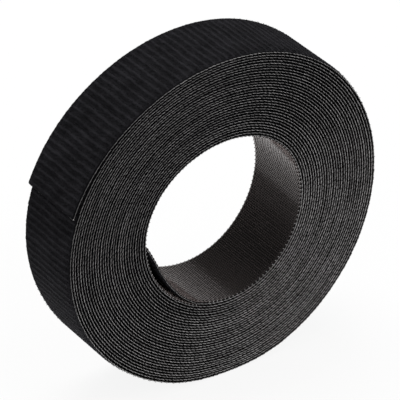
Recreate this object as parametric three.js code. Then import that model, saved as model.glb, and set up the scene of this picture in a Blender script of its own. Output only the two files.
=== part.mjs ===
// Hook and loop tape roll: one long back-to-back tape wound on itself, with no core,
// standing on its rim. The roll's axis lies along Y, its front side faces -Y, +Z is up,
// and the origin is on the floor under the roll's axis. Lengths are in millimetres.

import * as THREE from 'three';

// Driving dimensions of the tape. Its two woven webs are bonded back to back:
// the pile of loops faces out of the roll and the hooks face into the bore.
const TAPE_WIDTH = 25;
const LOOP_WEB = 0.33;
const HOOK_WEB = 0.33;
const BOND_LINE = 0.09;

// Driving dimensions of the winding.
const BORE_RADIUS = 26.64;
const TURN_GAP = 0.52;
const WHOLE_TURNS = 22;
const STEPS_PER_TURN = 24;

// A wound roll is never quite round: it has shallow lobes, alike in every turn.
const LOBES = 3;
const LOBE_HEIGHT = 0.4;
const LOBE_ANGLE = 44.4;

// Polar angles in degrees, from +X towards +Z. The tape runs outwards with growing angle.
const INNER_TIP = 180;
const INNER_ROOT = 247.5;
const OUTER_ROOT = 112.5;
const OUTER_TIP = 159.4;
const FOOT_ANGLE = 270;

// The tape's two loose ends. Each bends as a chain of short stiff links.
const OUTER_LINKS = 5;
const INNER_LINKS = 4;
const LINK_GAP = 0.3;
const STEPS_PER_LINK = 2;
const OUTER_TIP_LIFT = 0.6;
const INNER_BOW = 2.07;

const THICKNESS = HOOK_WEB + BOND_LINE + LOOP_WEB;
const PITCH = THICKNESS + TURN_GAP;
const STEP = 360 / STEPS_PER_TURN;

// Unwound angles: the outer end lies this many degrees further along the tape.
const WOUND = 360 * WHOLE_TURNS;
const OUTER_ROOT_ANGLE = OUTER_ROOT + WOUND;
const OUTER_TIP_ANGLE = OUTER_TIP + WOUND;

// Where each web starts and ends, measured outwards from the tape's hook face.
const HOOK_LAYER = { from: 0, to: HOOK_WEB };
const LOOP_LAYER = { from: HOOK_WEB + BOND_LINE, to: THICKNESS };

const loopPile = new THREE.MeshStandardMaterial({ color: 0x0c0c11, roughness: 0.95, metalness: 0 });
const hookFace = new THREE.MeshStandardMaterial({ color: 0x2b2622, roughness: 0.6, metalness: 0 });

// How far a loose end stands off the spiral, outwards positive. The outer end lifts
// slowly towards its tip. The inner end bows into the bore and comes back at its tip.
function standOff(angle) {
  if (angle > OUTER_ROOT_ANGLE) {
    const along = (angle - OUTER_ROOT_ANGLE) / (OUTER_TIP_ANGLE - OUTER_ROOT_ANGLE);
    return OUTER_TIP_LIFT * along ** 2;
  }
  if (angle < INNER_ROOT) {
    const along = (INNER_ROOT - angle) / (INNER_ROOT - INNER_TIP);
    const bow = (share) => share - share ** 5;
    const highest = bow(5 ** -0.25);
    return -INNER_BOW * bow(along) / highest;
  }
  return 0;
}

// Radius of the tape's hook face: an even spiral, the lobes, and a loose end's stand-off.
function hookFaceRadius(angle) {
  const spiral = BORE_RADIUS + PITCH * (angle - INNER_TIP) / 360;
  const lobe = LOBE_HEIGHT * Math.cos(THREE.MathUtils.degToRad(LOBES * (angle - LOBE_ANGLE)));
  return spiral + lobe + standOff(angle);
}

function onHookFace(angle) {
  const turn = THREE.MathUtils.degToRad(angle);
  return new THREE.Vector2(Math.cos(turn), Math.sin(turn)).multiplyScalar(hookFaceRadius(angle));
}

// A point of the tape's edge, this deep behind its hook face, square to the tape.
function tapePoint(angle, depth) {
  const reach = STEP / 2;
  const first = Math.max(angle - reach, INNER_TIP);
  const last = Math.min(angle + reach, OUTER_TIP_ANGLE);
  const along = onHookFace(last).sub(onHookFace(first)).normalize();
  const outward = new THREE.Vector2(along.y, -along.x);
  return onHookFace(angle).addScaledVector(outward, depth);
}

// Evenly spaced angles from first to last, in this many steps.
function stations(first, last, steps) {
  return Array.from({ length: steps + 1 }, (_, i) => first + (last - first) * i / steps);
}

// The wound tape's angles. Its flats lie over each other in every turn, with one flat
// centred at the foot, so no step shorter than a part of a flat is left at either end.
function woundStations(first, last) {
  const start = FOOT_ANGLE - STEP / 2;
  const shortest = STEP / 8;
  const from = Math.ceil((first + shortest - start) / STEP);
  const to = Math.floor((last - shortest - start) / STEP);
  const between = stations(start + STEP * from, start + STEP * to, to - from);
  return [first, ...between, last];
}

// One web of the tape as a solid strip: its outer edge forwards, its inner edge back.
function webStrip(angles, layer) {
  const outer = angles.map((angle) => tapePoint(angle, layer.to));
  const inner = angles.map((angle) => tapePoint(angle, layer.from)).reverse();
  const section = new THREE.Shape([...outer, ...inner]);
  const strip = new THREE.ExtrudeGeometry(section, { depth: TAPE_WIDTH, bevelEnabled: false });
  strip.rotateX(Math.PI / 2);
  strip.translate(0, TAPE_WIDTH / 2, 0);
  return strip;
}

function addTape(group, names, angles) {
  const loop = new THREE.Mesh(webStrip(angles, LOOP_LAYER), loopPile);
  loop.name = names.loop;
  const hook = new THREE.Mesh(webStrip(angles, HOOK_LAYER), hookFace);
  hook.name = names.hook;
  group.add(loop, hook);
}

// A loose end as links of equal length, numbered from its root, with a gap at each hinge.
function addLooseEnd(group, end, rootAngle, tipAngle, links) {
  const direction = Math.sign(tipAngle - rootAngle);
  const linkAngle = (tipAngle - rootAngle) / links;
  for (let link = 1; link <= links; link += 1) {
    const hinge = rootAngle + linkAngle * (link - 1);
    const gap = THREE.MathUtils.radToDeg(LINK_GAP / hookFaceRadius(hinge)) * direction;
    const ends = [hinge + gap, hinge + linkAngle].sort((a, b) => a - b);
    const names = { loop: `${end}_end_loop_${link}`, hook: `${end}_end_hook_${link}` };
    addTape(group, names, stations(ends[0], ends[1], STEPS_PER_LINK));
  }
}

// The least distance from one turn's loop face to the next turn's hook face, and from
// each web to its own next turn, measured from points to the facing edges.
function leastGap(angles, depth, nextDepth) {
  const edge = angles.map((angle) => tapePoint(angle, depth));
  const next = angles.map((angle) => tapePoint(angle, nextDepth));
  const nearest = new THREE.Vector3();
  let least = Infinity;
  for (let i = 0; i + STEPS_PER_TURN + 1 < angles.length; i += 1) {
    const point = new THREE.Vector3(edge[i].x, edge[i].y, 0);
    for (let j = i + STEPS_PER_TURN - 2; j <= i + STEPS_PER_TURN; j += 1) {
      const start = new THREE.Vector3(next[j].x, next[j].y, 0);
      const end = new THREE.Vector3(next[j + 1].x, next[j + 1].y, 0);
      new THREE.Line3(start, end).closestPointToPoint(point, true, nearest);
      least = Math.min(least, nearest.distanceTo(point));
    }
  }
  return least;
}

const roll = new THREE.Group();

// The wound length, from the inner end's root out to the outer end's root.
const woundAngles = woundStations(INNER_ROOT, OUTER_ROOT_ANGLE);
addTape(roll, { loop: 'wound_loop_web', hook: 'wound_hook_web' }, woundAngles);
addLooseEnd(roll, 'outer', OUTER_ROOT_ANGLE, OUTER_TIP_ANGLE, OUTER_LINKS);
addLooseEnd(roll, 'inner', INNER_ROOT, INNER_TIP, INNER_LINKS);

// The roll has settled on one flat of its outermost turn. It is turned until that flat is
// level, and raised until the flat is on the floor.
const footTurn = Math.floor((OUTER_ROOT_ANGLE - FOOT_ANGLE) / 360);
const footAngle = FOOT_ANGLE + 360 * footTurn;
const footStart = tapePoint(footAngle - STEP / 2, LOOP_LAYER.to);
const footEnd = tapePoint(footAngle + STEP / 2, LOOP_LAYER.to);
const settle = Math.atan2(footEnd.y - footStart.y, footEnd.x - footStart.x);
roll.rotation.y = settle;
roll.position.z = footStart.x * Math.sin(settle) - footStart.y * Math.cos(settle);

console.log(`least gap between turns ${leastGap(woundAngles, THICKNESS, 0).toFixed(3)} mm`);
console.log(`loop web to itself ${leastGap(woundAngles, LOOP_LAYER.to, LOOP_LAYER.from).toFixed(3)} mm`);
console.log(`hook web to itself ${leastGap(woundAngles, HOOK_LAYER.to, HOOK_LAYER.from).toFixed(3)} mm`);

export default roll;
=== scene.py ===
import bpy
import numpy as np
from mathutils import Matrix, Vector


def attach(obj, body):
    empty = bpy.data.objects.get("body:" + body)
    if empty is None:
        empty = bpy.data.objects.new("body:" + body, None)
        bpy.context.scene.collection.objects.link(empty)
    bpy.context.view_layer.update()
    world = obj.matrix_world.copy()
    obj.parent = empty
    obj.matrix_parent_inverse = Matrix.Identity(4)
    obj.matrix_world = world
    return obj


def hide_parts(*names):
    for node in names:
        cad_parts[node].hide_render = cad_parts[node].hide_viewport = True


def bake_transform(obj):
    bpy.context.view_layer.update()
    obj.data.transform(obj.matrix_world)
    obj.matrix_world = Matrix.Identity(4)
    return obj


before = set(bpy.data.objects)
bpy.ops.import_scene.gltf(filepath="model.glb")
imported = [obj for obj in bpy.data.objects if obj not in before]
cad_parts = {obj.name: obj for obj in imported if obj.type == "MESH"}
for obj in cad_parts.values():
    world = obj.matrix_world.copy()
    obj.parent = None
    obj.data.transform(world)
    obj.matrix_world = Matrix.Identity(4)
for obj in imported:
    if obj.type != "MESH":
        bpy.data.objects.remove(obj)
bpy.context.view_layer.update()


# The loop web: the outer half of the tape, woven from black nylon, whose outer face is brushed
# into a pile. The tape is wound on itself 32 times with no core. The roll stands on its rim,
# and its own weight squeezes the lowest turns to a small flat.

# The winding, in metres. It isn't quite round, but has three shallow lobes.
TAPE_WIDTH = 0.025
BORE_RADIUS = 0.02664
TURN_PITCH = 0.000856
WHOLE_TURNS = 32
LOBES = 3
LOBE_HEIGHT = 0.0004
LOBE_ANGLE = 44.4

# Where the loose ends start and stop, in degrees counted on from turn to turn, and how far they
# stand off the winding.
INNER_TIP = 180.0
INNER_ROOT = 247.5
OUTER_ROOT = 112.5 + 360 * WHOLE_TURNS
OUTER_TIP = 159.4 + 360 * WHOLE_TURNS
OUTER_LIFT = 0.0008
INNER_BOW = 0.00207

# How the roll stands: its axis, the degrees it has turned to settle, and the flat at its foot.
AXIS_HEIGHT = 0.05417
SETTLED_BY = 1.059
FOOT_LIFT = 0.0007
FOOT_SPREAD = 0.015
FOOT_DEPTH = 0.006
FLOOR_CLEARANCE = 0.00001


def hook_face_radius(angle):
    """Radius of the tape's hook tips at an unwound polar angle in degrees: an even spiral, three
    shallow lobes, the square-law lift of the outer end, and the inner end's bow u - u^5, divided
    by its highest value."""
    spiral = BORE_RADIUS + TURN_PITCH * (angle - INNER_TIP) / 360
    lobes = LOBE_HEIGHT * np.cos(np.radians(LOBES * (angle - LOBE_ANGLE)))
    lifted = np.maximum((angle - OUTER_ROOT) / (OUTER_TIP - OUTER_ROOT), 0)
    bowed = np.maximum((INNER_ROOT - angle) / (INNER_ROOT - INNER_TIP), 0)
    highest = 0.8 * 5**-0.25
    return spiral + lobes + OUTER_LIFT * lifted**2 - INNER_BOW * (bowed - bowed**5) / highest


def on_tape(angle, along, depth, across):
    """Points carried by the tape: from its hook tips at an angle, a step along the tape, one
    outwards and one towards the rear. Near the floor it is squeezed up by a bell curve of x, and
    nothing goes below the floor."""
    turn = np.radians(angle + SETTLED_BY)
    radius = hook_face_radius(angle)
    slope = (hook_face_radius(angle + 0.5) - hook_face_radius(angle - 0.5)) / np.radians(1.0)
    length = np.hypot(radius, slope)
    along_x = (slope * np.cos(turn) - radius * np.sin(turn)) / length
    along_z = (slope * np.sin(turn) + radius * np.cos(turn)) / length
    x = radius * np.cos(turn) + along * along_x + depth * along_z
    z = AXIS_HEIGHT + radius * np.sin(turn) + along * along_z - depth * along_x
    sunk = FOOT_LIFT * np.exp(-((x / FOOT_SPREAD) ** 2))
    z = z + sunk * np.clip(1 - (z + sunk) / FOOT_DEPTH, 0, 1)
    x, y, z = np.broadcast_arrays(x, across, np.maximum(z, FLOOR_CLEARANCE))
    return np.stack([x, y, z], axis=-1)


# The tape's length from its inner tip, at every degree of its winding.
WINDING = np.arange(INNER_TIP, OUTER_TIP + 0.5, 1.0)
WINDING_LENGTH = np.concatenate([[0], np.cumsum(hook_face_radius(WINDING[1:] - 0.5) * np.radians(1.0))])


def length_at(angle):
    """The tape's length from its inner tip to an unwound angle."""
    return np.interp(angle, WINDING, WINDING_LENGTH)


def angle_at(length):
    """The unwound angle at a length of tape from its inner tip."""
    return np.interp(length, WINDING_LENGTH, WINDING)


# How far the tape's edges wander out of the roll's flat sides, and how many times in each turn.
SLOW_WANDER = (0.00005, 0.31)
QUICK_WANDER = (0.00004, 1.73)


def wander(angle):
    """The edges' wander at an unwound angle: a slow sine and a quicker one."""
    return sum(reach * np.sin(np.radians(waves * angle)) for reach, waves in (SLOW_WANDER, QUICK_WANDER))


def ring_walls(rings, corners):
    """The quads between rings of points that follow each other, each ring with this many corners."""
    ring = np.arange(rings - 1)[:, None] * corners
    corner = np.arange(corners)
    after = (corner + 1) % corners
    quads = [ring + corner, ring + after, ring + after + corners, ring + corner + corners]
    return np.stack(quads, axis=-1).reshape(-1, 4)


def ring_caps(rings, corners):
    """The two flat faces that close the first ring and the last."""
    corner = np.arange(corners)
    return np.stack([corner[::-1], corner + corners * (rings - 1)])


def strip(angles, depth, across, shade=0.5, smooth=False):
    """A closed strip carried along the tape: a ring of section corners at each angle, joined by
    quads, with both ends closed. Its map runs in metres along and across the tape."""
    rings, corners = len(angles), len(across)
    points = on_tape(angles[:, None], 0, depth, across + wander(angles)[:, None])
    chart = np.stack(np.broadcast_arrays(length_at(angles)[:, None], across), axis=-1)
    return {
        "points": points.reshape(-1, 3),
        "faces": [ring_walls(rings, corners), ring_caps(rings, corners)],
        "chart": chart.reshape(-1, 2),
        "shade": np.broadcast_to(shade, points.shape[:2]).ravel(),
        "smooth": smooth,
    }


def band(angles, layer, edges, shade=0.5):
    """A strip with four corners, from one depth behind the hook tips to another and from one place
    across the tape to another."""
    return strip(angles, np.array(layer)[[0, 1, 1, 0]], np.array(edges)[[0, 0, 1, 1]], shade)


def web(angles, layer):
    """A web of the tape: a band of nearly its full width, shaded by a slow sine along it."""
    shade = 0.5 + 0.5 * np.sin(length_at(angles)[:, None] / WEB_PATCH)
    return band(angles, layer, (-WEB_HALF_WIDTH, WEB_HALF_WIDTH), shade)


def new_piece(name, *layers):
    """One mesh from pairs of a material and a surface. A surface holds points, arrays of faces with
    one corner count each, a map, a shade for each point and whether it is smooth."""
    materials = list(dict.fromkeys(material for material, surface in layers))
    surfaces = [surface for material, surface in layers]
    starts = np.cumsum([0] + [len(surface["points"]) for surface in surfaces])
    points, chart, shade = (
        np.concatenate([surface[key] for surface in surfaces]) for key in ("points", "chart", "shade")
    )
    faces = [part + start for surface, start in zip(surfaces, starts) for part in surface["faces"]]
    corners = np.concatenate([part.ravel() for part in faces]).astype(np.int32)
    counts = np.concatenate([np.full(len(part), part.shape[1]) for part in faces])
    amounts = [sum(map(len, surface["faces"])) for surface in surfaces]
    finish = np.repeat([materials.index(material) for material, surface in layers], amounts)
    smooth = np.repeat([surface["smooth"] for surface in surfaces], amounts)
    mesh = bpy.data.meshes.new(name)
    mesh.vertices.add(len(points))
    mesh.vertices.foreach_set("co", points.astype(np.float32).ravel())
    mesh.loops.add(len(corners))
    mesh.loops.foreach_set("vertex_index", corners)
    mesh.polygons.add(len(counts))
    mesh.polygons.foreach_set("loop_start", (np.cumsum(counts) - counts).astype(np.int32))
    for material in materials:
        mesh.materials.append(material)
    mesh.polygons.foreach_set("material_index", finish.astype(np.int32))
    mesh.polygons.foreach_set("use_smooth", smooth)
    mesh.update(calc_edges=True)
    tape_map = mesh.uv_layers.new(name="tape_map")
    tape_map.data.foreach_set("uv", chart[corners].astype(np.float32).ravel())
    mesh.attributes.new("shade", "FLOAT", "POINT").data.foreach_set("value", shade.astype(np.float32))
    piece = bpy.data.objects.new(name, mesh)
    bpy.context.scene.collection.objects.link(piece)
    return piece


def new_group(name, inputs, outputs):
    """An empty shader node group with these sockets, and its two end nodes."""
    group = bpy.data.node_groups.new(name, "ShaderNodeTree")
    for socket, kind in inputs:
        group.interface.new_socket(socket, in_out="INPUT", socket_type=kind)
    for socket, kind in outputs:
        group.interface.new_socket(socket, in_out="OUTPUT", socket_type=kind)
    return group, group.nodes.new("NodeGroupInput"), group.nodes.new("NodeGroupOutput")


# Yarn is never one even colour: fine fibres and slower patches lighten and darken it, and make
# it a little smoother or rougher.
yarn_tint, given, result = new_group(
    "yarn_tint",
    [
        ("Colour", "NodeSocketColor"),
        ("Fineness", "NodeSocketFloat"),
        ("Spread", "NodeSocketFloat"),
        ("Roughness", "NodeSocketFloat"),
    ],
    [("Colour", "NodeSocketColor"), ("Roughness", "NodeSocketFloat"), ("Height", "NodeSocketFloat")],
)
place = yarn_tint.nodes.new("ShaderNodeTexCoord")
fibre = yarn_tint.nodes.new("ShaderNodeTexNoise")
fibre.inputs["Detail"].default_value = 3
patch = yarn_tint.nodes.new("ShaderNodeTexNoise")
patch.inputs["Scale"].default_value = 160
both = yarn_tint.nodes.new("ShaderNodeMath")
both.operation = "ADD"
centred = yarn_tint.nodes.new("ShaderNodeMath")
centred.operation = "SUBTRACT"
centred.inputs[1].default_value = 1.0
spread = yarn_tint.nodes.new("ShaderNodeMath")
spread.operation = "MULTIPLY_ADD"
spread.inputs[2].default_value = 1.0
tinted = yarn_tint.nodes.new("ShaderNodeVectorMath")
tinted.operation = "SCALE"
rougher = yarn_tint.nodes.new("ShaderNodeMath")
rougher.operation = "MULTIPLY_ADD"
rougher.inputs[1].default_value = 0.2
join = yarn_tint.links.new
join(place.outputs["Object"], fibre.inputs["Vector"])
join(place.outputs["Object"], patch.inputs["Vector"])
join(given.outputs["Fineness"], fibre.inputs["Scale"])
join(fibre.outputs["Fac"], both.inputs[0])
join(patch.outputs["Fac"], both.inputs[1])
join(both.outputs[0], centred.inputs[0])
join(centred.outputs[0], spread.inputs[0])
join(given.outputs["Spread"], spread.inputs[1])
join(given.outputs["Colour"], tinted.inputs[0])
join(spread.outputs[0], tinted.inputs["Scale"])
join(centred.outputs[0], rougher.inputs[0])
join(given.outputs["Roughness"], rougher.inputs[2])
join(tinted.outputs[0], result.inputs["Colour"])
join(rougher.outputs[0], result.inputs["Roughness"])
join(fibre.outputs["Fac"], result.inputs["Height"])


def new_finish(name, dark, light, fineness, spread, roughness, gloss):
    """A yarn's material: each thread's own shade picks its colour between a dark and a light one,
    and the tint group varies it and gives the roughness and a fine bump."""
    material = bpy.data.materials.new(name)
    material.use_nodes = True
    nodes, links = material.node_tree.nodes, material.node_tree.links
    shader = nodes["Principled BSDF"]
    shader.inputs["Specular IOR Level"].default_value = gloss
    shade = nodes.new("ShaderNodeAttribute")
    shade.attribute_name = "shade"
    ramp = nodes.new("ShaderNodeValToRGB")
    ramp.color_ramp.elements[0].color = (*dark, 1)
    ramp.color_ramp.elements[1].color = (*light, 1)
    tint = nodes.new("ShaderNodeGroup")
    tint.node_tree = yarn_tint
    tint.inputs["Fineness"].default_value = fineness
    tint.inputs["Spread"].default_value = spread
    tint.inputs["Roughness"].default_value = roughness
    bump = nodes.new("ShaderNodeBump")
    bump.name = "fibre_bump"
    bump.inputs["Distance"].default_value = 0.00002
    bump.inputs["Strength"].default_value = 0.5
    links.new(shade.outputs["Fac"], ramp.inputs["Fac"])
    links.new(ramp.outputs["Color"], tint.inputs["Colour"])
    links.new(tint.outputs["Colour"], shader.inputs["Base Color"])
    links.new(tint.outputs["Roughness"], shader.inputs["Roughness"])
    links.new(tint.outputs["Height"], bump.inputs["Height"])
    links.new(bump.outputs["Normal"], shader.inputs["Normal"])
    return material


# Both webs have a plain weave for their ground: one wave along the tape times one across it.
plain_weave, given, result = new_group(
    "plain_weave",
    [("Chart", "NodeSocketVector"), ("Scale", "NodeSocketFloat")],
    [("Height", "NodeSocketFloat")],
)
woven = plain_weave.nodes.new("ShaderNodeMath")
woven.operation = "MULTIPLY"
join = plain_weave.links.new
for direction, socket in (("X", 0), ("Y", 1)):
    yarns = plain_weave.nodes.new("ShaderNodeTexWave")
    yarns.wave_type = "BANDS"
    yarns.bands_direction = direction
    yarns.inputs["Distortion"].default_value = 0.6
    join(given.outputs["Chart"], yarns.inputs["Vector"])
    join(given.outputs["Scale"], yarns.inputs["Scale"])
    join(yarns.outputs["Fac"], woven.inputs[socket])
join(woven.outputs[0], result.inputs["Height"])


def add_weave(material, pitch):
    """A ground's weave at this pitch, as a bump under the one of its fibres. A wave texture's own
    period is two pi over twenty times its scale."""
    nodes, links = material.node_tree.nodes, material.node_tree.links
    chart = nodes.new("ShaderNodeUVMap")
    chart.uv_map = "tape_map"
    weave = nodes.new("ShaderNodeGroup")
    weave.node_tree = plain_weave
    weave.inputs["Scale"].default_value = 2 * np.pi / (20 * pitch)
    bump = nodes.new("ShaderNodeBump")
    bump.inputs["Distance"].default_value = 0.00006
    bump.inputs["Strength"].default_value = 0.7
    links.new(chart.outputs["UV"], weave.inputs["Chart"])
    links.new(weave.outputs["Height"], bump.inputs["Height"])
    links.new(bump.outputs["Normal"], nodes["fibre_bump"].inputs["Normal"])


LOOP_GROUND = (0.00062, 0.00084)
WEB_HALF_WIDTH = 0.0121
WEB_PATCH = 0.019
WEAVE_PITCH = 0.00036
STEPS_PER_TURN = 96
INNER_LINKS = 4
OUTER_LINKS = 5
INNER_LINK = (INNER_ROOT - INNER_TIP) / INNER_LINKS
OUTER_LINK = (OUTER_TIP - OUTER_ROOT) / OUTER_LINKS

loop_ground = new_finish(
    "loop_ground",
    dark=(0.004, 0.004, 0.005),
    light=(0.006, 0.006, 0.007),
    fineness=5200,
    spread=0.9,
    roughness=0.9,
    gloss=0.03,
)
add_weave(loop_ground, WEAVE_PITCH)

wound_from = INNER_ROOT + INNER_LINK / 2
wound_to = OUTER_ROOT - OUTER_LINK / 2
wound_steps = int(STEPS_PER_TURN * (wound_to - wound_from) / 360)
wound_angles = np.linspace(wound_from, wound_to, wound_steps + 1)
wound_loop = new_piece("wound_loop_strip", (loop_ground, web(wound_angles, LOOP_GROUND)))
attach(wound_loop, "roll")
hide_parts("wound_loop_web")


# The hook web: the inner half of the tape, woven from stiffer black nylon and bonded to the back
# of the loop web. Its face carries the hooks and looks into the bore.

HOOK_GROUND = (0.0004, 0.0006)

hook_ground = new_finish(
    "hook_ground",
    dark=(0.004, 0.0037, 0.0035),
    light=(0.006, 0.0055, 0.0052),
    fineness=4200,
    spread=0.7,
    roughness=0.75,
    gloss=0.05,
)
add_weave(hook_ground, WEAVE_PITCH)
wound_hook = new_piece("wound_hook_strip", (hook_ground, web(wound_angles, HOOK_GROUND)))
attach(wound_hook, "roll")
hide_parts("wound_hook_web")


# The nap between the turns: the pile of one turn pressed into the hooks of the next. It is packed
# black yarn, set back from the tape's edges, and shows as the dark line between two turns.

NAP = (0.00086, 0.00124)
NAP_HALF_WIDTH = 0.0114

nap_yarn = new_finish(
    "nap_yarn",
    dark=(0.003, 0.003, 0.0035),
    light=(0.006, 0.006, 0.0065),
    fineness=5200,
    spread=0.9,
    roughness=0.95,
    gloss=0.02,
)
covered_angles = wound_angles[wound_angles < OUTER_ROOT - 360]
nap = band(covered_angles, NAP, (-NAP_HALF_WIDTH, NAP_HALF_WIDTH))
pressed_nap = new_piece("pressed_nap", (nap_yarn, nap))
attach(pressed_nap, "roll")


# The pile: soft loops of fine black yarn, brushed up on the loop web into low crosswise ribs. The
# outermost turn shows it all round the rim.

RIB_PITCH = 0.00227
RIB_HEIGHT = 0.00018
RIB_BEND = 0.00012
RIB_WAVER = 0.00008
PILE_TOP = 0.00105
PILE_HALF_WIDTH = 0.0117
PILE_STEP = 0.0003
PILE_COLUMNS = 35
PILE_SPACING = 0.001
PILE_MARGIN = 0.0003
PILE_REACH = 0.00036
PILE_HEIGHT = 0.00013
PILE_SUNK = 0.00008
PILE_THREAD = 0.00007
PILE_STRAY_ALONG = 0.0001
PILE_STRAY_ACROSS = 0.00012
chance = np.random.default_rng(11)


def rib_top(length, across):
    """Depth of the pile's face: rounded ribs |cos| along the tape, bent slowly across it."""
    bent = length + RIB_BEND * np.sin(430 * across) + RIB_WAVER * np.sin(1100 * across + 310 * length)
    return PILE_TOP + RIB_HEIGHT * np.abs(np.cos(np.pi * bent / RIB_PITCH))


def pile_face(first, last):
    """The pile's brushed face from one angle to another: the ribs on a grid of points, closer together
    at the edges, where a high power of the width brings the face down to the web. Its shade is a tuft by
    chance and a high power of the rib's height, which paints highlights on the crests and shade in the
    grooves between them."""
    steps = int(np.ceil((length_at(last) - length_at(first)) / PILE_STEP))
    angles = np.linspace(first, last, steps + 1)
    share = np.sin(np.linspace(-np.pi / 2, np.pi / 2, PILE_COLUMNS))
    across = PILE_HALF_WIDTH * share
    top = rib_top(length_at(angles)[:, None], across)
    tufted = chance.uniform(0.1, 0.5, top.shape)
    # Painted highlight on the rib crests and painted shade in the grooves; the tufts are the yarn's own
    # tone by chance.
    shade = 0.5 * ((top - PILE_TOP) / RIB_HEIGHT) ** 6 + tufted
    depth = LOOP_GROUND[1] + (top - LOOP_GROUND[1]) * (1 - share**16)
    return strip(angles, depth, across, shade, smooth=True)


def bent_thread(path, thick, wide, sides):
    """A short bent thread: rings of points round a path that lies in the plane of along and
    depth, joined by quads, with a flat cap at each end. Its section may be wider than thick."""
    ahead = np.gradient(path, axis=0)
    ahead /= np.linalg.norm(ahead, axis=1)[:, None]
    square = np.stack([-ahead[:, 1], ahead[:, 0]], axis=1)
    turn = 2 * np.pi * (np.arange(sides) + 0.5) / sides
    flat = path[:, None] + thick * np.cos(turn)[:, None] * square[:, None]
    across = np.broadcast_to(wide * np.sin(turn), flat.shape[:2])
    points = np.concatenate([flat, across[:, :, None]], axis=2).reshape(-1, 3)
    return points, [ring_walls(len(path), sides), ring_caps(len(path), sides)]


def repeat_on_tape(shape, angles, across, depth, shade, size=1.0, turned=0.0, tilted=0.0, smooth=True):
    """One shape at many places of the tape: tilted in the plane of along and depth, turned in the
    plane of the tape, sized and carried there, with a shade for each copy or each point."""
    points, faces = shape
    size, turned, tilted, depth = (
        np.broadcast_to(value, angles.shape)[:, None] for value in (size, turned, tilted, depth)
    )
    along = points[:, 0] * np.cos(tilted) - points[:, 1] * np.sin(tilted)
    height = points[:, 0] * np.sin(tilted) + points[:, 1] * np.cos(tilted)
    forward = along * np.cos(turned) - points[:, 2] * np.sin(turned)
    aside = along * np.sin(turned) + points[:, 2] * np.cos(turned)
    sideways = across[:, None] + wander(angles)[:, None] + aside * size
    placed = on_tape(angles[:, None], forward * size, depth + height * size, sideways)
    shift = np.arange(len(angles))[:, None, None] * len(points)
    return {
        "points": placed.reshape(-1, 3),
        "faces": [(part + shift).reshape(-1, part.shape[1]) for part in faces],
        "chart": np.zeros((len(angles) * len(points), 2)),
        "shade": np.broadcast_to(shade, (len(angles), len(points))).ravel(),
        "smooth": smooth,
    }


def rows_between(first, last, pitch):
    """The numbers of the rows, counted from the inner tip at this pitch, between two angles."""
    return np.arange(np.ceil(length_at(first) / pitch), np.floor(length_at(last) / pitch) + 1)


def lattice(first, last, row_pitch, spacing, half_width):
    """Row numbers and places across the tape of a staggered lattice between two angles."""
    rows = rows_between(first, last, row_pitch)
    columns = np.arange(-half_width, half_width - spacing / 2, spacing)
    row, across = (grid.ravel() for grid in np.meshgrid(rows, columns, indexing="ij"))
    return row, across + (row % 2) * spacing / 2


def pile_loops(first, last):
    """Short arches of yarn that stand out of the ribs, two staggered rows on each rib, every one
    shifted, sized, turned and shaded by chance."""
    row, across = lattice(first, last, RIB_PITCH / 2, PILE_SPACING, PILE_HALF_WIDTH - PILE_MARGIN)
    count = len(row)
    rib_side = 0.44 * (row % 2) - 0.22
    length = RIB_PITCH * (np.floor(row / 2) + rib_side) + chance.normal(0, PILE_STRAY_ALONG, count)
    across = across + chance.normal(0, PILE_STRAY_ACROSS, count)
    reach = np.linspace(-1, 1, 3)
    arch = np.stack([PILE_REACH * reach, PILE_HEIGHT * (1 - reach**2) - PILE_SUNK], axis=1)
    return repeat_on_tape(
        bent_thread(arch, PILE_THREAD, PILE_THREAD, 3),
        np.clip(angle_at(length), first, last),
        across,
        rib_top(length, across),
        chance.uniform(0, 1, count)[:, None] ** 2,
        size=chance.uniform(0.75, 1.2, count),
        turned=np.pi / 2 + chance.normal(0, 0.5, count),
    )


pile_yarn = new_finish(
    "pile_yarn",
    dark=(0.003, 0.003, 0.0035),
    light=(0.022, 0.0214, 0.0243),
    fineness=3000,
    spread=1.2,
    roughness=0.95,
    gloss=0.03,
)
outer_pile = new_piece(
    "outer_turn_pile",
    (pile_yarn, pile_face(OUTER_ROOT - 360, wound_to)),
    (pile_yarn, pile_loops(OUTER_ROOT - 360, wound_to)),
)
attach(outer_pile, "roll")


# The hooks: cut loops of stiff brownish black monofilament in close staggered rows on the hook
# web. The innermost turn shows them all round the bore.

HOOK_ROW = 0.000711
HOOK_SPACING = 0.00083
HOOK_HALF_WIDTH = 0.0113
HOOK_THICK = 0.00007
HOOK_WIDE = 0.0003
HOOK_SIDES = 4
HOOK_STRAY = 0.000015
HOOK_PATH = 0.001 * np.array([[-0.25, 0.05], [-0.26, -0.3], [-0.22, -0.35], [0.28, -0.35]])


def hook_rows(first, last):
    """Hooks on a staggered lattice: each is a bent ribbon that rises from the web and lies over across
    the tape, the other way in every second row. Its foot is painted darker than its head, a painted
    shade near the web."""
    row, across = lattice(first, last, HOOK_ROW, HOOK_SPACING, HOOK_HALF_WIDTH)
    count = len(row)
    # Painted shade: the foot and stem are darker than the head, which is lit.
    lightness = np.repeat([0.0, 0.3, 1.0, 1.0], HOOK_SIDES) * chance.uniform(0.7, 1, count)[:, None]
    return repeat_on_tape(
        bent_thread(HOOK_PATH, HOOK_THICK, HOOK_WIDE, HOOK_SIDES),
        angle_at(row * HOOK_ROW + chance.normal(0, HOOK_STRAY, count)),
        across + chance.normal(0, HOOK_STRAY, count),
        HOOK_GROUND[0],
        lightness,
        turned=np.pi * (row % 2 - 0.5) + chance.normal(0, 0.08, count),
        smooth=False,
    )


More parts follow.
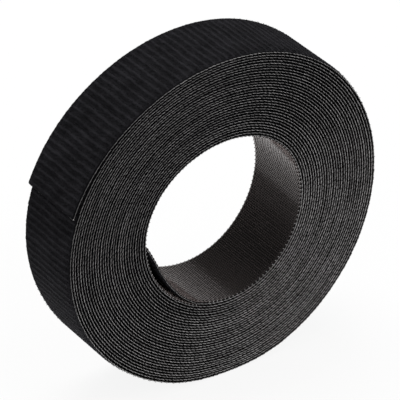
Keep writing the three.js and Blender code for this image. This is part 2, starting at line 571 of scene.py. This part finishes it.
hook_nylon = new_finish(
    "hook_nylon",
    dark=(0.002, 0.0018, 0.0017),
    light=(0.004, 0.0035, 0.0034),
    fineness=5000,
    spread=0.5,
    roughness=0.1,
    gloss=0.5,
)
hook_shader = hook_nylon.node_tree.nodes["Principled BSDF"]
hook_shader.inputs["IOR"].default_value = 1.35
hook_shader.inputs["Specular Tint"].default_value = (1, 0.9, 0.88, 1)
hook_shader.inputs["Sheen Weight"].default_value = 0.65
hook_shader.inputs["Sheen Roughness"].default_value = 0.4
hook_shader.inputs["Sheen Tint"].default_value = (1, 0.82, 0.79, 1)
bore_hooks = new_piece("bore_hooks", (hook_nylon, hook_rows(wound_from, INNER_ROOT + 360)))
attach(bore_hooks, "roll")


# The edges: along both sides of the tape the weft yarn turns back round the outermost warp. That
# leaves a slanting grey stitch at every second row of hooks, a small claw on the hook face and a bare
# margin beside the hooks. Wound up, the stitches make the fine beaded lines on the roll's sides.

STITCH_PITCH = 2 * HOOK_ROW
STITCH_DEPTH = 0.00063
STITCH_INSET = 0.00026
STITCH_SLANT = 0.1
STITCH_REACH = 0.00084
STITCH_THICK = 0.00008
STITCH_WIDE = 0.00019
STITCH_STRAY_ALONG = 0.00006
STITCH_STRAY_ACROSS = 0.00003
STITCH_STRAY_OUTWARDS = 0.000025
CLAW_INSET = 0.0005
CLAW_THICK = 0.00009
CLAW_WIDE = 0.00014
CLAW_STRAY = 0.00012
CLAW_PATH = 0.001 * np.array([[-0.2, 0.14], [-0.15, 0.05], [0.0, -0.03], [0.25, -0.08]])
BORE_CLAW_HALF_SIZES = (0.00034, 0.00013, 0.00015)
BORE_CLAW_DEPTH = 0.0003
BORE_CLAW_TILT = 1.1
MARGIN_TOP = 0.00022
MARGIN_HALF_WIDTH = 0.0118
BEAD_SIDES = 5


def bead(half_length, half_depth, half_width):
    """A slim bead: three rings on an ellipsoid and a point at each end."""
    station = np.array([-0.62, 0.0, 0.62])[:, None]
    wide = np.sqrt(1 - station**2)
    turn = 2 * np.pi * np.arange(BEAD_SIDES) / BEAD_SIDES
    ring_points = np.broadcast_arrays(
        half_length * station, half_depth * wide * np.cos(turn), half_width * wide * np.sin(turn)
    )
    tips = [[-half_length, 0, 0], [half_length, 0, 0]]
    points = np.concatenate([np.stack(ring_points, axis=-1).reshape(-1, 3), tips])
    side = np.arange(BEAD_SIDES)
    after = (side + 1) % BEAD_SIDES
    last_ring = 2 * BEAD_SIDES
    first_tip = np.full(BEAD_SIDES, 3 * BEAD_SIDES)
    start = np.stack([after, side, first_tip], axis=-1)
    end = np.stack([side + last_ring, after + last_ring, first_tip + 1], axis=-1)
    return points, [ring_walls(3, BEAD_SIDES), np.concatenate([start, end])]


def edge_stitches(first, last, side, thick, slant):
    """Beads of a given thickness and slant along one edge of the tape, front -1 or rear +1, each one
    shifted, tilted and shaded by chance, with slow changes along the tape. Each bead is painted darker
    deeper in, away from the roll's flat side, a painted shade in the gap between turns. Its outer flank
    is darker too, partly for the pile that covers it and partly as painted shade."""
    length = rows_between(first, last, STITCH_PITCH) * STITCH_PITCH
    count = len(length)
    slow = 0.5 + 0.25 * np.sin(length / 0.031) + 0.25 * np.sin(length / 0.0117)
    lightness = 0.2 + 0.4 * chance.uniform(0, 1, count) + 0.4 * slow
    points, faces = bead(STITCH_REACH, thick, STITCH_WIDE)
    # Painted shade: darker deeper in and on the outer flank, where the pile's cover also darkens it.
    pile_cover_and_painted_shade = 0.47 - 0.3 * points[:, 1] / thick + 0.5 * side * points[:, 2] / STITCH_WIDE
    return repeat_on_tape(
        (points, faces),
        angle_at(length + chance.normal(0, STITCH_STRAY_ALONG, count)),
        side * (TAPE_WIDTH / 2 - STITCH_INSET + chance.normal(0, STITCH_STRAY_ACROSS, count)),
        STITCH_DEPTH + chance.normal(0, STITCH_STRAY_OUTWARDS, count),
        lightness[:, None] * pile_cover_and_painted_shade,
        tilted=slant * chance.normal(1, 0.25, count),
    )


def edge_claws(first, last, side):
    """Claws on the hook face: at each stitch the weft comes over the tape's edge as a bent thread and
    ends beside the first hooks. Though they are the same yarn as the stitches, they are painted nearly
    black: painted shade for the dark gap between two turns, where most of them lie."""
    length = rows_between(first, last, STITCH_PITCH) * STITCH_PITCH
    count = len(length)
    # Painted shade: the claws take only the darkest end of the edge yarn's colours.
    lightness = chance.uniform(0, 0.04, count)[:, None]
    return repeat_on_tape(
        bent_thread(CLAW_PATH, CLAW_THICK, CLAW_WIDE, 3),
        angle_at(length + chance.normal(0, CLAW_STRAY, count)),
        np.full(count, side * (TAPE_WIDTH / 2 - CLAW_INSET)),
        HOOK_GROUND[0],
        lightness,
        turned=-side * np.pi / 2 + chance.normal(0, 0.15, count),
    )


def bore_claws(first, last, side):
    """The innermost turn's claws, which lie free: a steep bead from each stitch to the hook face."""
    length = rows_between(first, last, STITCH_PITCH) * STITCH_PITCH
    count = len(length)
    return repeat_on_tape(
        bead(*BORE_CLAW_HALF_SIZES),
        angle_at(length),
        np.full(count, side * (TAPE_WIDTH / 2 - CLAW_INSET)),
        BORE_CLAW_DEPTH,
        chance.uniform(0.4, 0.7, count)[:, None],
        tilted=BORE_CLAW_TILT,
    )


def hook_margin(first, last, side):
    """The hook face's bare margin: a low band from the last hooks out to the claws."""
    steps = int(np.ceil((length_at(last) - length_at(first)) / STITCH_PITCH))
    angles = np.linspace(first, last, steps + 1)
    edges = np.sort(side * np.array([HOOK_HALF_WIDTH, MARGIN_HALF_WIDTH]))
    return band(angles, (MARGIN_TOP, HOOK_GROUND[0]), edges, shade=1.0)


edge_yarn = new_finish(
    "edge_yarn",
    dark=(0.01, 0.0097, 0.0097),
    light=(0.49, 0.475, 0.475),
    fineness=5200,
    spread=0.5,
    roughness=0.5,
    gloss=0.4,
)
edge_pieces = []
for side, where in ((-1, "front"), (1, "rear")):
    stitches = edge_stitches(wound_from, wound_to, side, STITCH_THICK, STITCH_SLANT)
    edge = new_piece(f"{where}_edge_stitches", (edge_yarn, stitches))
    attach(edge, "roll")
    claws = new_piece(
        f"{where}_edge_claws",
        (edge_yarn, edge_claws(wound_from, wound_to, side)),
        (edge_yarn, bore_claws(wound_from, INNER_ROOT + 360, side)),
        (hook_nylon, hook_margin(wound_from, INNER_ROOT + 360, side)),
    )
    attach(claws, "roll")
    edge_pieces += [edge, claws]


# The loose ends: the same tape, free at the rim and in the bore, cut square across, with flatter and
# straighter stitches. Each is made in stretches that run from the middle of one link to the middle of
# the next.

LOOSE_STITCH_THICK = 0.00005
LOOSE_STITCH_SLANT = 0.04
STRETCH_STEPS = 12
WARP_SPACING = 0.00047
CUT_YARN_HALF_SIZES = (0.00016, 0.00014, 0.00018)
CUT_YARN_STRAY = 0.00004
CUT_CORNER = 0.0003


def cut_yarns(tip, outwards):
    """The cut across the tape: blunt ends of the warp yarns, one bead at each, lightest at the
    tape's edges."""
    across = np.arange(-WEB_HALF_WIDTH, WEB_HALF_WIDTH + 0.0001, WARP_SPACING)
    count = len(across)
    at_edge = np.abs(across) > WEB_HALF_WIDTH - CUT_CORNER
    return repeat_on_tape(
        bead(*CUT_YARN_HALF_SIZES),
        np.full(count, tip) + outwards * chance.uniform(0, 0.12, count),
        across,
        STITCH_DEPTH + chance.normal(0, CUT_YARN_STRAY, count),
        np.where(at_edge, 1.0, chance.uniform(0, 0.3, count))[:, None],
    )


def add_loose_end(end, root, link, count):
    """Stretches from the middle of one link to the middle of the next, the last one to the tip."""
    pieces = []
    tip = root + link * count
    for number in range(1, count + 1):
        begins = root + link * (number - 1.5)
        turns_to = root + link * (number - 0.5)
        finishes = tip if number == count else turns_to
        first, last = min(begins, finishes), max(begins, finishes)
        angles = np.linspace(first, last, STRETCH_STEPS + 1)
        loop_layers = [
            (loop_ground, web(angles, LOOP_GROUND)),
            (pile_yarn, pile_face(first, last)),
            (pile_yarn, pile_loops(first, last)),
            (edge_yarn, edge_stitches(first, last, -1, LOOSE_STITCH_THICK, LOOSE_STITCH_SLANT)),
            (edge_yarn, edge_stitches(first, last, 1, LOOSE_STITCH_THICK, LOOSE_STITCH_SLANT)),
        ]
        if number == count:
            loop_layers.append((edge_yarn, cut_yarns(tip, np.sign(link))))
        loop = new_piece(f"{end}_end_loop_stretch_{number}", *loop_layers)
        hook = new_piece(
            f"{end}_end_hook_stretch_{number}",
            (hook_ground, web(angles, HOOK_GROUND)),
            (hook_nylon, hook_rows(first, last)),
            (hook_nylon, hook_margin(first, last, -1)),
            (hook_nylon, hook_margin(first, last, 1)),
            (edge_yarn, edge_claws(first, last, -1)),
            (edge_yarn, edge_claws(first, last, 1)),
        )
        middle = (HOOK_GROUND[1] + LOOP_GROUND[0]) / 2
        start = on_tape(begins, 0, middle, 0)
        stop = on_tape(turns_to, 0, middle, 0)
        for piece, face, slot in ((loop, "loop", "loop_pile"), (hook, "hook", "hook_face")):
            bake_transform(piece)
            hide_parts(f"{end}_end_{face}_{number}")
            pieces.append(piece)
    return pieces


end_pieces = add_loose_end("outer", OUTER_ROOT, OUTER_LINK, OUTER_LINKS)
end_pieces += add_loose_end("inner", INNER_ROOT, -INNER_LINK, INNER_LINKS)


# The ground: a plain white floor. The camera sees it near white, and it takes the soft shadow under the
# roll. Close to the roll it also glows as a pool of light that lights the roll, though the floor is no
# lamp.

FLOOR_REACH = 6
GLOW_SHARE_SEEN = 0.88
GLOW_SHARE_GIVEN = 0.3
POOL_LIGHT = 4.5
POOL_EDGE = (0.1, 0.12)


def by_sight(nodes, links, camera_value, other_value):
    """A socket with one value where the camera sees the surface and another where light does."""
    ray = nodes.new("ShaderNodeLightPath")
    value = nodes.new("ShaderNodeMapRange")
    value.inputs["To Min"].default_value = other_value
    value.inputs["To Max"].default_value = camera_value
    links.new(ray.outputs["Is Camera Ray"], value.inputs["Value"])
    return value.outputs["Result"]


white_ground = bpy.data.materials.new("white_ground")
white_ground.use_nodes = True
nodes, links = white_ground.node_tree.nodes, white_ground.node_tree.links
nodes.clear()
output = nodes.new("ShaderNodeOutputMaterial")
matt = nodes.new("ShaderNodeBsdfDiffuse")
matt.inputs["Color"].default_value = (0.9, 0.9, 0.9, 1)
bright = nodes.new("ShaderNodeEmission")
bright.inputs["Color"].default_value = (1, 1, 1, 1)
mixed = nodes.new("ShaderNodeMixShader")
place = nodes.new("ShaderNodeTexCoord")
away = nodes.new("ShaderNodeVectorMath")
away.operation = "LENGTH"
pool = nodes.new("ShaderNodeMapRange")
pool.inputs["From Min"].default_value = POOL_EDGE[0]
pool.inputs["From Max"].default_value = POOL_EDGE[1]
pool.inputs["To Min"].default_value = POOL_LIGHT
pool.inputs["To Max"].default_value = 0.0
links.new(place.outputs["Object"], away.inputs[0])
links.new(away.outputs["Value"], pool.inputs["Value"])

# To the camera the floor glows as plain white. To the roll it glows only in a pool round its foot.
glow = by_sight(nodes, links, 1.0, 0.0)
links.new(pool.outputs["Result"], glow.node.inputs["To Min"])
links.new(glow, bright.inputs["Strength"])
links.new(by_sight(nodes, links, GLOW_SHARE_SEEN, GLOW_SHARE_GIVEN), mixed.inputs["Fac"])
links.new(matt.outputs[0], mixed.inputs[1])
links.new(bright.outputs[0], mixed.inputs[2])
links.new(mixed.outputs[0], output.inputs["Surface"])

floor_mesh = bpy.data.meshes.new("floor")
floor_corners = [(x * FLOOR_REACH, y * FLOOR_REACH, 0) for x, y in ((-1, -1), (1, -1), (1, 1), (-1, 1))]
floor_mesh.from_pydata(floor_corners, [], [(0, 1, 2, 3)])
floor_mesh.materials.append(white_ground)
floor = bpy.data.objects.new("floor", floor_mesh)
bpy.context.scene.collection.objects.link(floor)


# The light: a white room, with two large soft lamps in front, one above and a low one behind on the
# right. The camera sees the room itself as white.

ROOM_LIGHT = 0.45

room = bpy.data.worlds.new("white_room")
room.use_nodes = True
nodes, links = room.node_tree.nodes, room.node_tree.links
links.new(by_sight(nodes, links, 1.0, ROOM_LIGHT), nodes["Background"].inputs["Strength"])
nodes["Background"].inputs["Color"].default_value = (1, 1, 1, 1)
bpy.context.scene.world = room


def add_lamp(name, place, size, power):
    """A round soft lamp that faces the middle of the roll."""
    lamp_data = bpy.data.lights.new(name, "AREA")
    lamp_data.shape = "DISK"
    lamp_data.size = size
    lamp_data.energy = power
    lamp = bpy.data.objects.new(name, lamp_data)
    lamp.location = place
    toward = Vector((0, 0, AXIS_HEIGHT)) - lamp.location
    lamp.rotation_euler = toward.to_track_quat("-Z", "Y").to_euler()
    bpy.context.scene.collection.objects.link(lamp)


add_lamp("front_right_lamp", place=(0.9, -1.0, 0.7), size=0.8, power=7.6)
add_lamp("front_left_lamp", place=(-1.3, -0.7, 0.6), size=0.9, power=3.6)
add_lamp("top_lamp", place=(0.1, 0.4, 1.35), size=1.0, power=10.5)
add_lamp("rear_right_lamp", place=(0.95, 1.1, 0.4), size=1.4, power=4.0)


# The camera: a long lens to the front left of the roll and above it. The picture's middle lies just
# above the middle of the roll.

CAMERA_AIM = Vector((-0.00048, 0.00095, AXIS_HEIGHT + 0.00085))
CAMERA_LEFT = np.radians(33.787)
CAMERA_UP = np.radians(31.557)
CAMERA_AWAY = 1.011
CAMERA_LENS = 306.0
CAMERA_SENSOR = 36.0

level = np.cos(CAMERA_UP)
sight = Vector((np.sin(CAMERA_LEFT) * level, np.cos(CAMERA_LEFT) * level, -np.sin(CAMERA_UP)))
camera_data = bpy.data.cameras.new("camera")
camera_data.sensor_width = CAMERA_SENSOR
camera_data.lens = CAMERA_LENS
camera = bpy.data.objects.new("camera", camera_data)
camera.location = CAMERA_AIM - CAMERA_AWAY * sight
camera.rotation_euler = sight.to_track_quat("-Z", "Y").to_euler()
bpy.context.scene.collection.objects.link(camera)
bpy.context.scene.camera = camera
bpy.context.scene.view_settings.view_transform = "Standard"
